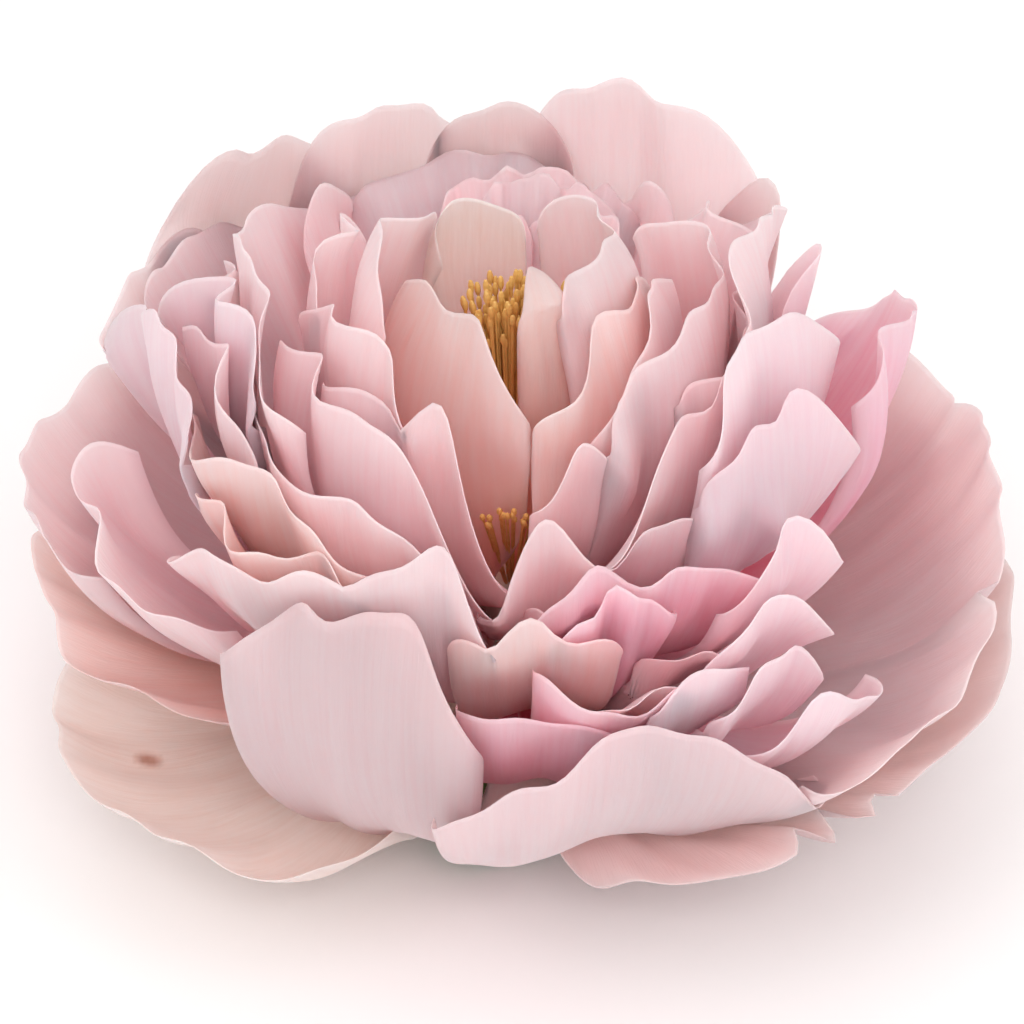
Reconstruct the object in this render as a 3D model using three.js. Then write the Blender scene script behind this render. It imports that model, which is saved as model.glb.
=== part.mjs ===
// Crepe paper peony: a full pink bloom of hand-cut petals, glued in overlapping rounds to a ball on a taped
// wire stub. Millimetres and degrees. +Z is up, the origin is the middle of the stub's flat cut end, and -Y is
// the front.
//
// Every petal is a sheet that leaves the ball as a page leaves a spine. A point of a petal is given by its
// turn round the stem's axis, its distance from the ball's centre, and its tilt away from the axis. Petals are
// glued on from the middle outwards, and each one is laid over those before it with a small clearance.

import * as THREE from "three";
import { mergeVertices } from "three/addons/utils/BufferGeometryUtils.js";

// Ball and stub
const BALL_RADIUS = 12;
const BALL_HEIGHT = 28;
const STUB_RADIUS = 4;
const STUB_SHOULDER = 1.5;
const WIRE_RADIUS = 1.4;
const WIRE_REACH = 9;
const SOCKET_CLEARANCE = 0.3;
const ROUND_STEPS = 20;

// Sheets
const GLUE_LINE = 0.3;
const PETAL_SHEET = 0.7;
const SEPAL_SHEET = 0.9;
const FRINGE_SHEET = 0.8;
const LAYER_CLEARANCE = 0.4;
const PETAL_FOOT = 7;
const FAN_FROM = 0.5;
const SHOULDER = 0.9;
const RIM_NICK = 0.009;
const COARSE_NICK = 2;
const FINE_NICK = 3;
const LIP_FROM = 0.7;
const COARSE_RUFFLE = 1.6;
const FINE_RUFFLE = 2.9;
const PAST_EDGE = 1.1;
const PAST_RIM = 1.05;

// Stamen crown, a fringed strip rolled round the very middle
const CROWN_REACH = 64;
const CROWN_SLIT_FROM = 24;
const CROWN_TEETH = 5;
const CROWN_SLIT_SHARE = 0.3;
const CROWN_TILT = 8;
const CROWN_ROOM = 11;

// Sepals
const SEPALS = 4;
const SEPAL_FIRST_TURN = -98;
const SEPAL_SPREAD = 26;
const SEPAL_REACH = 46;
const SEPAL_BODY = [144, 150];
const SEPAL_RIM = [121, 124, 121];
const SEPAL_RUFFLE = 0.4;
const SEPAL_SHOULDER = 0.55;
const SEPAL_BLUNTNESS = 1.7;

// The shared net of turns and distances that every sheet is cut from
const COLUMNS = 30;
const RINGS = 9;
const OUTERMOST = 98;
const RING_CROWDING = 0.8;
const SETTLE_ROUNDS = 4;
const CUT_HALVINGS = 10;
const CUT_MARGIN = 0.12;
const GOLDEN_TURN = 137.5;

const PALE = 0xe8cfcb;
const LILAC = 0xe3c6cb;
const SALMON = 0xdfa59f;
const ROSE = 0xd67f93;
const DUSKY = 0xc9a09e;
const CREAM = 0xd8c9bc;
const GOLD = 0xd59b3f;
const GREEN = 0x3f5a34;
const TAPE = 0x5d7a45;
const FOAM = 0xe9e2d6;

// How matt each paper is
const TISSUE_MATT = 0.9;
const TAPE_MATT = 0.7;
const FRINGE_MATT = 0.8;
const CREPE_MATT = 0.85;
const SEPAL_MATT = 0.8;

// Petals from the middle outwards. Each row: name, turns of the two edges, reach from the ball's centre, tilts
// at the foot and the bend, tilts along the rim from edge to edge, lip that the rim turns outwards, ruffle
// height, ruffle waves, bluntness of the tip, colour.
const PETALS = [
  ["narrow_slip", [-102, -70], 76, [30, 24], [7, 5, 7], 0, 0.4, 2, 2.0, PALE],
  ["centre_cone", [-190, -84], 69, [40, 34], [17, 11, 11, 14, 27], 0, 0.4, 2, 2.4, SALMON],
  ["hood", [84, 134], 70, [34, 33], [24, 24, 22, 19], -3, 0.6, 2, 2.6, CREAM],
  ["upright_back", [-60, 75], 75, [38, 32], [13, 9, 13, 14, 13], 0, 0.6, 3, 2.6, PALE],
  ["stamen_strip", [-102, -64], 50, [46, 43], [38, 36, 38], 0, 0.4, 3, 3.0, GOLD],
  ["upright_cup", [-84, 8], 71, [46, 38], [28, 20, 16, 17], 0, 0.8, 3, 2.6, SALMON],
  ["tuft_back", [64, 106], 75, [46, 44], [47, 43, 41, 45], 0, 2.4, 7, 2.6, PALE],
  ["slip_left", [122, 214], 76, [44, 38], [18, 15, 16, 21], 0, 0.5, 2, 1.5, PALE],
  ["grey_left", [-178, -116], 73, [50, 46], [25, 22, 20, 21, 31], 3, 0.8, 3, 2.8, PALE],
  ["sweep_inner_left", [-152, -91], 70, [56, 54], [28, 27, 26, 27, 48], 2, 0.8, 3, 2.6, PALE],
  ["narrow_front", [-86, -62], 69, [52, 50], [38, 30, 36], 3, 0.4, 2, 2.2, PALE],
  ["curled_right_back", [-68, 42], 76, [54, 52], [26, 23, 24, 24, 23, 22], 2, 1.0, 4, 2.6, PALE],
  ["back_inner", [76, 118], 81, [54, 54], [52, 48, 48, 52], 2, 1.4, 5, 2.6, PALE],
  ["sweep_left", [-170, -93], 73, [62, 62], [30, 28, 29, 31, 36, 51], 3, 1.0, 4, 2.6, PALE],
  ["long_right", [-74, -22], 74, [60, 58], [45, 34, 30, 28], 3, 0.8, 3, 2.6, PALE],
  ["inner_left_back", [110, 224], 80, [60, 60], [58, 46, 36, 28, 30, 35], 3, 1.0, 4, 2.6, PALE],
  ["broad_right_back", [-32, 64], 82, [60, 58], [30, 24, 29, 46, 62], 2, 1.0, 4, 2.8, PALE],
  ["broad_right", [-54, -6], 83, [64, 64], [38, 31, 30, 33, 42], 2, 0.9, 3, 2.8, LILAC],
  ["scallop_front", [-96, -36], 70, [66, 66], [48, 41, 42, 43, 46, 52], 2, 1.0, 5, 2.8, PALE],
  ["ruffled_left", [-152, -96], 75, [68, 68], [37, 39, 42, 42, 49], 3, 1.0, 5, 2.8, PALE],
  ["side_left_high", [162, 214], 81, [66, 64], [50, 38, 32, 30, 33], 2, 0.9, 3, 2.8, LILAC],
  ["cup_left_back", [122, 156], 85, [72, 74], [64, 58, 55, 58], 2, 1.0, 3, 2.6, PALE],
  ["broad_right_low", [-56, -18], 79, [70, 72], [44, 38, 38, 41, 50], 2, 0.8, 3, 3.0, LILAC],
  ["pink_front", [-90, -44], 73, [74, 78], [52, 47, 48, 51, 57], 3, 1.2, 5, 2.6, ROSE],
  ["inner_pink_left", [-168, -106], 77, [72, 72], [46, 44, 43, 45, 51], 3, 1.0, 4, 2.6, SALMON],
  ["curl_front", [-86, -64], 75, [80, 84], [55, 50, 50, 52], 4, 1.4, 4, 2.2, ROSE],
  ["small_left_back", [126, 162], 87, [78, 80], [64, 62, 60, 64], 0, 0.8, 3, 2.6, DUSKY],
  ["back_right_point", [34, 66], 88, [76, 80], [66, 60, 58, 66], 0, 1.0, 3, 1.7, DUSKY],
  ["side_left", [154, 208], 83, [76, 76], [58, 48, 42, 40, 43], 2, 0.8, 3, 2.8, LILAC],
  ["hollow_right", [-16, 46], 85, [78, 84], [44, 46, 52, 62, 72], 2, 1.4, 4, 2.8, ROSE],
  ["small_right", [-58, -34], 78, [80, 82], [55, 51, 50, 57], 3, 0.8, 3, 2.4, LILAC],
  ["lobe_left", [-166, -132], 82, [90, 88], [64, 57, 51, 50], 3, 0.6, 2, 3.2, PALE],
  ["front_wide", [-148, -92], 78, [84, 84], [57, 54, 53, 50, 47, 45, 56], 3, 0.8, 5, 3.2, PALE],
  ["front_fold", [-100, -73], 75, [82, 76], [54, 49, 48, 53, 58], 12, 0.6, 3, 2.6, PALE],
  ["point_right", [-68, -42], 80, [86, 88], [60, 55, 55, 63], 4, 0.8, 3, 1.9, LILAC],
  ["claw_cup", [-87, -64], 77, [92, 94], [60, 64, 62, 59], 2, 0.8, 2, 2.4, ROSE],
  ["round_lobe_right", [-73, -57], 79, [94, 96], [63, 60, 62], 2, 0.5, 2, 2.6, LILAC],
  ["loop_right", [-65, -47], 80, [96, 98], [66, 62, 63, 69], 2, 0.5, 2, 2.6, LILAC],
  ["pink_cup_low", [-98, -72], 74, [96, 102], [67, 66, 65, 63], 0, 0.6, 3, 2.8, ROSE],
  ["finger_right", [-61, -38], 83, [98, 102], [75, 71, 72, 76], 0, 0.5, 2, 1.9, LILAC],
  ["guard_back_dark", [80, 104], 88, [82, 84], [50, 46, 47, 54], 0, 0.8, 3, 2.4, DUSKY],
  ["guard_back_high", [52, 88], 92, [86, 88], [62, 50, 43, 44, 52], 0, 0.8, 4, 2.8, PALE],
  ["guard_back_left", [92, 124], 90, [88, 90], [58, 50, 46, 47, 56], 0, 1.0, 4, 2.8, DUSKY],
  ["guard_left_back", [114, 148], 91, [92, 94], [58, 50, 46, 47, 56], 0, 0.6, 3, 2.8, DUSKY],
  ["guard_left_far", [146, 204], 86, [94, 98], [76, 73, 72, 70, 68], 0, 0.6, 3, 3.2, PALE],
  ["guard_right", [-54, 38], 86, [100, 102], [82, 80, 76, 71, 71, 75, 70], 0, 0.7, 4, 3.8, DUSKY],
  ["guard_left", [-190, -124], 81, [98, 96], [74, 71, 71, 72, 76], 0, 0.6, 3, 3.4, SALMON],
  ["guard_front_left", [-129, -90], 79, [116, 120], [62, 57, 55, 57, 68], 0, 0.4, 3, 4.0, PALE],
  ["guard_front_right", [-100, -46], 79, [112, 116], [80, 75, 68, 70, 77, 85], 0, 0.4, 3, 3.8, PALE],
  ["guard_low_back_right", [0, 90], 84, [112, 108], [84, 82, 80, 80, 82], 0, 1.2, 5, 3.2, DUSKY],
  ["guard_low_back_left", [84, 176], 84, [114, 110], [84, 82, 80, 80, 82], 0, 1.2, 5, 3.2, DUSKY],
  ["guard_low_right", [-98, -8], 86, [116, 98], [84, 82, 87, 89, 87, 83, 84], 0, 1.2, 6, 3.4, DUSKY],
  ["guard_low_left", [-162, -92], 85, [118, 100], [78, 86, 90, 86, 84, 80], -6, 1.0, 5, 3.4, CREAM],
];

const root = BALL_RADIUS + GLUE_LINE;
const columnTurn = 360 / COLUMNS;
const radians = THREE.MathUtils.degToRad;
const degrees = THREE.MathUtils.radToDeg;

// Where a point at a turn, distance and tilt lies
function spot(turn, distance, tilt) {
  const across = distance * Math.sin(radians(tilt));
  return new THREE.Vector3(
    across * Math.cos(radians(turn)),
    across * Math.sin(radians(turn)),
    BALL_HEIGHT + distance * Math.cos(radians(tilt)),
  );
}

// A number for every crossing of the net, with its columns going round
class Field {
  constructor(value) {
    this.rows = Array.from({ length: COLUMNS }, () => new Array(RINGS).fill(value));
  }
  static made(rule) {
    const field = new Field(0);
    field.rows = field.rows.map((row, column) => row.map((_, ring) => rule(column, ring)));
    return field;
  }
  at(column, ring) {
    const inside = THREE.MathUtils.clamp(ring, 0, RINGS - 1);
    return this.rows[(column + COLUMNS) % COLUMNS][inside];
  }
}

const turnOf = (column) => column * columnTurn;
const distanceOf = (ring) => root + (OUTERMOST - root) * (ring / (RINGS - 1)) ** RING_CROWDING;

// A smooth curve through values set evenly from one edge of a petal, -1, to the other, 1
function through(values, across) {
  const place = ((THREE.MathUtils.clamp(across, -1, 1) + 1) / 2) * (values.length - 1);
  const start = Math.min(Math.floor(place), values.length - 2);
  const part = place - start;
  const [first, second] = [values[start], values[start + 1]];
  const before = values[Math.max(start - 1, 0)];
  const after = values[Math.min(start + 2, values.length - 1)];
  const slope = second - before;
  const bend = 2 * before - 5 * first + 4 * second - after;
  const twist = 3 * (first - second) + after - before;
  return first + (part / 2) * (slope + part * (bend + part * twist));
}

// The outline and form of one petal. "across" runs from -1 to 1 between its edges, "along" from 0 at the foot
// to 1 at the tip.
class Petal {
  constructor(name, edges, reach, body, rims, lip, ruffle, waves, bluntness, colour, seed, shoulder) {
    Object.assign(this, { name, body, rims, lip, ruffle, waves, bluntness, colour, seed });
    this.shoulder = shoulder ?? SHOULDER;
    this.turn = (edges[0] + edges[1]) / 2;
    this.spread = (edges[1] - edges[0]) / 2;
    this.footSpread = degrees(PETAL_FOOT / 2 / (root * Math.sin(radians(body[0]))));
    this.length = reach - root;
  }
  phase(wave) {
    return radians(GOLDEN_TURN * this.seed * (wave + 1));
  }
  halfTurn(along) {
    const share = Math.sin((Math.PI / 2) * THREE.MathUtils.clamp(along / FAN_FROM, 0, 1));
    return this.footSpread + (this.spread - this.footSpread) * share;
  }
  rim(across) {
    const round = (1 - Math.min(Math.abs(across), 1) ** this.bluntness) ** (1 / this.bluntness);
    const coarse = Math.sin(across * this.waves * COARSE_NICK + this.phase(0));
    const fine = Math.sin(across * this.waves * FINE_NICK + this.phase(1)) / 2;
    return (this.shoulder + (1 - this.shoulder) * round) * (1 + RIM_NICK * (coarse + fine));
  }
  place(turn, distance) {
    const away = ((((turn - this.turn) % 360) + 540) % 360) - 180;
    const along = (distance - root) / this.length;
    return [away / this.halfTurn(Math.min(along, 1)), along];
  }
  covers(turn, distance) {
    const [across, along] = this.place(turn, distance);
    return Math.abs(across) < 1 && along < this.rim(across);
  }
  tilt(turn, distance) {
    const [aside, out] = this.place(turn, distance);
    const across = THREE.MathUtils.clamp(aside, -PAST_EDGE, PAST_EDGE);
    const along = THREE.MathUtils.clamp(out / this.rim(across), 0, PAST_RIM);
    const [foot, bend] = this.body;
    const held = (1 - along) ** 2 * foot + 2 * along * (1 - along) * bend;
    const nearRim = THREE.MathUtils.clamp((along - LIP_FROM) / (1 - LIP_FROM), 0, 1) ** 2;
    const coarse = Math.sin(across * this.waves * COARSE_RUFFLE + this.phase(2));
    const fine = Math.sin(across * this.waves * FINE_RUFFLE + this.phase(3)) / 2;
    const wave = degrees((this.ruffle * (coarse + fine) * along ** 2) / distance);
    return held + along ** 2 * through(this.rims, across) + nearRim * this.lip + wave;
  }
}

// The triangles of the net, each as three [column, ring] crossings
function netTriangles() {
  const triangles = [];
  for (let column = 0; column < COLUMNS; column++) {
    for (let ring = 0; ring < RINGS - 1; ring++) {
      const near = [column, ring];
      const far = [column, ring + 1];
      const nextNear = [(column + 1) % COLUMNS, ring];
      const nextFar = [(column + 1) % COLUMNS, ring + 1];
      triangles.push([near, far, nextFar], [near, nextFar, nextNear]);
    }
  }
  return triangles;
}

const NET = netTriangles();
const nameOf = ([column, ring]) => column * RINGS + ring;

// Cuts a sheet out of the net: the stretch where covers() holds, with its middle at tilts and the given
// thickness
function cutSheet(covers, tilts, thickness) {
  const points = [];
  const numbers = new Map();
  const held = (crossing) => covers(turnOf(crossing[0]), distanceOf(crossing[1]));
  const faceOf = (crossing, side) => {
    const distance = distanceOf(crossing[1]);
    const half = degrees(thickness / 2 / distance);
    return spot(turnOf(crossing[0]), distance, tilts.at(crossing[0], crossing[1]) + side * half);
  };
  const add = (key, upper, lower) => {
    if (!numbers.has(key)) {
      numbers.set(key, points.length);
      points.push(upper(), lower());
    }
    return numbers.get(key);
  };
  const corner = (crossing) =>
    add(String(nameOf(crossing)), () => faceOf(crossing, -1), () => faceOf(crossing, 1));
  const cut = (inner, outer) => {
    let reach = 0;
    const step = ((outer[0] - inner[0] + COLUMNS + COLUMNS / 2) % COLUMNS) - COLUMNS / 2;
    for (let size = 0.5, round = 0; round < CUT_HALVINGS; size /= 2, round++) {
      const share = reach + size;
      const turn = turnOf(inner[0] + step * share);
      const distance = distanceOf(inner[1] + (outer[1] - inner[1]) * share);
      reach = covers(turn, distance) ? share : reach;
    }
    reach = THREE.MathUtils.clamp(reach, CUT_MARGIN, 1 - CUT_MARGIN);
    const between = (side) => () => faceOf(inner, side).lerp(faceOf(outer, side), reach);
    return add(nameOf(inner) + "|" + nameOf(outer), between(-1), between(1));
  };

  const polygons = [];
  for (const triangle of NET) {
    const inside = triangle.map(held);
    const polygon = [];
    triangle.forEach((crossing, index) => {
      const next = (index + 1) % triangle.length;
      if (inside[index]) polygon.push(corner(crossing));
      if (inside[index] && !inside[next]) polygon.push(cut(crossing, triangle[next]));
      if (!inside[index] && inside[next]) polygon.push(cut(triangle[next], crossing));
    });
    if (polygon.length) polygons.push(polygon);
  }
  return closedSheet(points, polygons);
}

// Joins the upper faces, the lower faces and the strip round the edge into one closed body
function closedSheet(points, polygons) {
  const edges = new Set();
  const faces = [];
  for (const polygon of polygons) {
    polygon.forEach((start, index) => edges.add(start + "," + polygon[(index + 1) % polygon.length]));
    for (let index = 2; index < polygon.length; index++) {
      const [a, b, c] = [polygon[0], polygon[index - 1], polygon[index]];
      faces.push(a, b, c, a + 1, c + 1, b + 1);
    }
  }
  for (const edge of edges) {
    const [start, end] = edge.split(",").map(Number);
    if (!edges.has(end + "," + start)) faces.push(start, start + 1, end + 1, start, end + 1, end);
  }
  const geometry = new THREE.BufferGeometry();
  const corners = points.flatMap((point) => point.toArray());
  geometry.setAttribute("position", new THREE.Float32BufferAttribute(corners, 3));
  geometry.setIndex(faces);
  return facingOut(geometry);
}

// Turns a closed body's faces outwards where they point in
function facingOut(geometry) {
  const position = geometry.attributes.position;
  const index = geometry.index.array;
  const corner = (at) => new THREE.Vector3().fromBufferAttribute(position, index[at]);
  let volume = 0;
  for (let at = 0; at < index.length; at += 3) {
    volume += corner(at).dot(corner(at + 1).cross(corner(at + 2)));
  }
  if (volume < 0) {
    for (let at = 0; at < index.length; at += 3) [index[at], index[at + 1]] = [index[at + 1], index[at]];
  }
  geometry.computeVertexNormals();
  return geometry;
}

const bloom = new THREE.Group();

function addPiece(name, geometry, colour, roughness) {
  const finish = { color: colour, roughness, metalness: 0, side: THREE.DoubleSide };
  const material = new THREE.MeshStandardMaterial(finish);
  const mesh = new THREE.Mesh(geometry, material);
  mesh.name = name;
  bloom.add(mesh);
}

// How far out the sheets already laid reach, as a tilt, over the whole net
let laid = Field.made((column, ring) => (distanceOf(ring - 1) < CROWN_REACH ? CROWN_ROOM : 0));

// Lays a petal over what is there: where it would touch, it is eased outwards, and the easing fades to its
// sides
function layPetal(petal, thickness) {
  const wanted = Field.made((column, ring) => petal.tilt(turnOf(column), distanceOf(ring)));
  const covered = Field.made((column, ring) => petal.covers(turnOf(column), distanceOf(ring)));
  const used = Field.made((column, ring) => {
    for (const [aside, along] of [[0, 0], [1, 0], [-1, 0], [0, 1], [0, -1], [1, 1], [-1, -1]]) {
      if (covered.at(column + aside, ring + along)) return true;
    }
    return false;
  });
  const half = (ring) => degrees(thickness / 2 / distanceOf(ring));
  const needed = Field.made((column, ring) => {
    const least = laid.at(column, ring) + degrees(LAYER_CLEARANCE / distanceOf(ring)) + half(ring);
    return used.at(column, ring) ? Math.max(0, least - wanted.at(column, ring)) : 0;
  });
  let eased = needed;
  for (let round = 0; round < SETTLE_ROUNDS; round++) {
    const before = eased;
    eased = Field.made((column, ring) => {
      const beside = before.at(column - 1, ring) + before.at(column + 1, ring);
      const alongside = before.at(column, ring - 1) + before.at(column, ring + 1);
      return Math.max(needed.at(column, ring), (beside + alongside + 2 * before.at(column, ring)) / 6);
    });
  }
  const settled = Field.made((column, ring) => wanted.at(column, ring) + eased.at(column, ring));
  laid = Field.made((column, ring) =>
    used.at(column, ring) ? settled.at(column, ring) + half(ring) : laid.at(column, ring),
  );
  return cutSheet((turn, distance) => petal.covers(turn, distance), settled, thickness);
}

// Ball on its wire, and the taped stub with the wire's end in the ball's socket
function lathe(outline) {
  const geometry = new THREE.LatheGeometry(outline.map(([x, y]) => new THREE.Vector2(x, y)), ROUND_STEPS);
  geometry.deleteAttribute("normal");
  geometry.deleteAttribute("uv");
  const merged = mergeVertices(geometry, 1e-4);
  merged.rotateX(Math.PI / 2);
  return facingOut(withoutFlatFaces(merged));
}

// Drops the faces that have no area, which a lathe leaves on its axis
function withoutFlatFaces(geometry) {
  const index = geometry.index.array;
  const kept = [];
  for (let at = 0; at < index.length; at += 3) {
    const [a, b, c] = index.slice(at, at + 3);
    if (a !== b && b !== c && c !== a) kept.push(a, b, c);
  }
  geometry.setIndex(kept);
  return geometry;
}

const socketRadius = WIRE_RADIUS + SOCKET_CLEARANCE;
const ballBottom = BALL_HEIGHT - BALL_RADIUS;
const socketTop = ballBottom + WIRE_REACH + SOCKET_CLEARANCE;

function ballOutline() {
  const mouth = Math.asin(socketRadius / BALL_RADIUS);
  const outline = [[0, socketTop], [socketRadius, socketTop]];
  for (let step = 0; step <= ROUND_STEPS / 2; step++) {
    const tilt = Math.PI - mouth - ((Math.PI - mouth) * step) / (ROUND_STEPS / 2);
    const last = step === ROUND_STEPS / 2;
    outline.push([last ? 0 : BALL_RADIUS * Math.sin(tilt), BALL_HEIGHT + BALL_RADIUS * Math.cos(tilt)]);
  }
  return outline;
}

function stubOutline() {
  const top = ballBottom - GLUE_LINE;
  return [
    [0, 0],
    [STUB_RADIUS, 0],
    [STUB_RADIUS, top - STUB_SHOULDER],
    [WIRE_RADIUS + GLUE_LINE, top],
    [WIRE_RADIUS, top],
    [WIRE_RADIUS, ballBottom + WIRE_REACH],
    [0, ballBottom + WIRE_REACH],
  ];
}

addPiece("core_ball", lathe(ballOutline()), FOAM, TISSUE_MATT);
addPiece("taped_stub", lathe(stubOutline()), TAPE, TAPE_MATT);

// Stamen crown: a closed band at the foot, cut into teeth above the slits
const toothTurn = 360 / CROWN_TEETH;
const inCrown = (turn, distance) => {
  const share = (((turn % toothTurn) + toothTurn) % toothTurn) / toothTurn;
  return distance < CROWN_SLIT_FROM || (distance < CROWN_REACH && share > CROWN_SLIT_SHARE);
};
addPiece("stamen_crown", cutSheet(inCrown, new Field(CROWN_TILT), FRINGE_SHEET), GOLD, FRINGE_MATT);

PETALS.forEach((row, index) => {
  const petal = new Petal(...row, index + 1);
  addPiece(petal.name, layPetal(petal, PETAL_SHEET), petal.colour, CREPE_MATT);
});

for (let index = 0; index < SEPALS; index++) {
  const name = "sepal_" + (index + 1);
  const turn = SEPAL_FIRST_TURN + (index * 360) / SEPALS;
  const edges = [turn - SEPAL_SPREAD, turn + SEPAL_SPREAD];
  const form = [SEPAL_REACH, SEPAL_BODY, SEPAL_RIM, 0, SEPAL_RUFFLE, 1, SEPAL_BLUNTNESS];
  const sepal = new Petal(name, edges, ...form, GREEN, index, SEPAL_SHOULDER);
  addPiece(name, layPetal(sepal, SEPAL_SHEET), GREEN, SEPAL_MATT);
}

export default bloom;
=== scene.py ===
import math

import bpy
import numpy as np
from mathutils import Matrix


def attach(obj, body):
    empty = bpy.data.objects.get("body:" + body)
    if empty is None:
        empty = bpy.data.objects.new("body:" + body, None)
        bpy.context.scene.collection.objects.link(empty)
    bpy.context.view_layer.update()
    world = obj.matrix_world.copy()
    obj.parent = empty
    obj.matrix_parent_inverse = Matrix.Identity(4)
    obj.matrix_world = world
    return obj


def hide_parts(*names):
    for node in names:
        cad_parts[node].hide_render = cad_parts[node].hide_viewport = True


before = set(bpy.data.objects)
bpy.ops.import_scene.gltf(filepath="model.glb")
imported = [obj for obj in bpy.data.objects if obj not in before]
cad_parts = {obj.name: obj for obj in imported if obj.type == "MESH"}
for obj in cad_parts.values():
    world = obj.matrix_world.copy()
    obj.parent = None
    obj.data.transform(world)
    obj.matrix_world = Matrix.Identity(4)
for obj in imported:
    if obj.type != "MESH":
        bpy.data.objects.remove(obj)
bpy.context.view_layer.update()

# The crepe paper peony, from the middle outwards, as its maker puts it together. Lengths are in millimetres
# and become metres only where a mesh, lamp or camera is made. Angles are in degrees. -Y is the bloom's front.
MM = 0.001

# Camera, lights and table
# A bloom on a pale table, seen from a little above its front, under large soft lamps.
CAMERA_RISE = 36.0
CAMERA_REACH = 620.0
CAMERA_VIEW = 172.0
CAMERA_AIM = (0.0, 0.0, 47.0)
CLIP_START = 10.0
TABLE_HALF = 1500.0
TABLE_TINT = (0.93, 0.93, 0.93, 1.0)
TABLE_MATT = 0.9
LAMPS = (
    # name, place, size, power in watts, colour
    ("window_left", (-620, -520, 900), 700, 1.1, (1.0, 0.985, 0.975)),
    ("window_right", (760, -300, 620), 700, 0.6, (1.0, 0.985, 0.975)),
    ("ceiling", (0, 200, 1100), 900, 1.0, (1.0, 0.99, 0.985)),
    ("front_fill", (60, -760, 680), 420, 2.6, (1.0, 0.975, 0.965)),
)
SKY_STRENGTH = 0.92
SKY_TINT = (1.0, 0.975, 0.97, 1.0)
DIFFUSE_BOUNCES = 5
NOISE_LIMIT = 0.25

scene = bpy.context.scene
scene.view_settings.view_transform = "Standard"
scene.view_settings.look = "None"
scene.cycles.diffuse_bounces = DIFFUSE_BOUNCES
scene.cycles.use_adaptive_sampling = True
scene.cycles.adaptive_threshold = NOISE_LIMIT
scene.cycles.use_denoising = True


def look_at(thing, place, aim):
    """Puts a camera or lamp at a place, turned towards a point."""
    thing.location = [value * MM for value in place]
    away = np.array(place, float) - np.array(aim, float)
    across = math.hypot(away[0], away[1])
    thing.rotation_euler = (math.atan2(across, away[2]), 0.0, math.atan2(away[0], -away[1]))


camera_data = bpy.data.cameras.new("camera")
camera_data.angle = 2 * math.atan(CAMERA_VIEW / 2 / CAMERA_REACH)
camera_data.clip_start = CLIP_START * MM
camera = bpy.data.objects.new("camera", camera_data)
scene.collection.objects.link(camera)
rise = math.radians(CAMERA_RISE)
camera_place = (
    CAMERA_AIM[0],
    CAMERA_AIM[1] - CAMERA_REACH * math.cos(rise),
    CAMERA_AIM[2] + CAMERA_REACH * math.sin(rise),
)
look_at(camera, camera_place, CAMERA_AIM)
scene.camera = camera

for name, place, size, power, colour in LAMPS:
    lamp_data = bpy.data.lights.new(name, "AREA")
    lamp_data.shape = "SQUARE"
    lamp_data.size = size * MM
    lamp_data.energy = power
    lamp_data.color = colour
    lamp = bpy.data.objects.new(name, lamp_data)
    scene.collection.objects.link(lamp)
    look_at(lamp, place, CAMERA_AIM)

sky = bpy.data.worlds.new("sky")
sky.use_nodes = True
background = sky.node_tree.nodes["Background"]
background.inputs["Color"].default_value = SKY_TINT
background.inputs["Strength"].default_value = SKY_STRENGTH
scene.world = sky

table_mesh = bpy.data.meshes.new("table_top")
half = TABLE_HALF * MM
corners = [(-half, -half, 0), (half, -half, 0), (half, half, 0), (-half, half, 0)]
table_mesh.from_pydata(corners, [], [(0, 1, 2, 3)])
table = bpy.data.objects.new("table_top", table_mesh)
scene.collection.objects.link(table)
table_finish = bpy.data.materials.new("table_paint")
table_finish.use_nodes = True
table_shader = table_finish.node_tree.nodes["Principled BSDF"]
table_shader.inputs["Base Color"].default_value = TABLE_TINT
table_shader.inputs["Roughness"].default_value = TABLE_MATT
table_mesh.materials.append(table_finish)

# Crepe finish
# Doubled crepe paper, deeper in colour from the foot of each petal and left pale at the rim; the deeper foot
# is partly diluted ink and partly painted shade of the recesses between petals. The inner faces and the
# petals that stand in shade are given painted shade too. The crepe's grain runs from foot to rim as fine
# wavering ridges, with a few deeper veins.

# Noise over the piece and along its grain: scale, or stretch per millimetre across and along
CLOUD_SCALE = 45.0
STREAK_STRETCH = (0.4, 0.05, 1)
VEIN_STRETCH = (0.9, 0.08, 1)
RIDGE_STRETCH = (3.2, 0.35, 1)
# How far streaks and clouds move the edge of the foot's colour, partly ink and partly painted shade, and how
# fast it fades above that edge
STREAK_WAVER = 0.5
CLOUD_DRIFT = 0.45
INK_AND_SHADE_FADE = 1.25
# Noise under which a vein shows, and how sharply
VEIN_LEVEL = 0.62
VEIN_SHARPNESS = 3.0
# Shares of the rim's colour, of the foot's colour as painted shade on the inner faces, of the dark colour of
# painted shade on petals in shade, and of the spot's colour, where each is strongest
RIM_SHARE = 0.3
INNER_SHADE_SHARE = 0.12
PAINTED_SHADE_SHARE = 0.8
SPOT_SHARE = 0.85
# The dark brownish mauve of the painted shade on petals in shade, then the brown spot's colour
PAINTED_SHADE_TINT = (0.47, 0.30, 0.30, 1.0)
SPOT_TINT = (0.16, 0.05, 0.02, 1.0)
# How strongly ridges and veins stand up, and each bump's strength and its depth in metres
RIDGE_HEIGHT = 0.6
VEIN_HEIGHT = 0.8
CREPE_BUMP = (0.25, 0.0004)
PLAIN_BUMP = (0.3, 0.0003)
CREPE_MATT = 0.62
CREPE_SHINE = 0.25
CREPE_SHEEN = 0.15
# Light that passes through the paper: share, spread of red, green and blue, and its depth in metres
GLOW_SHARE = 0.7
GLOW_SPREAD = (1.0, 0.65, 0.6)
GLOW_DEPTH = 0.004
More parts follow.
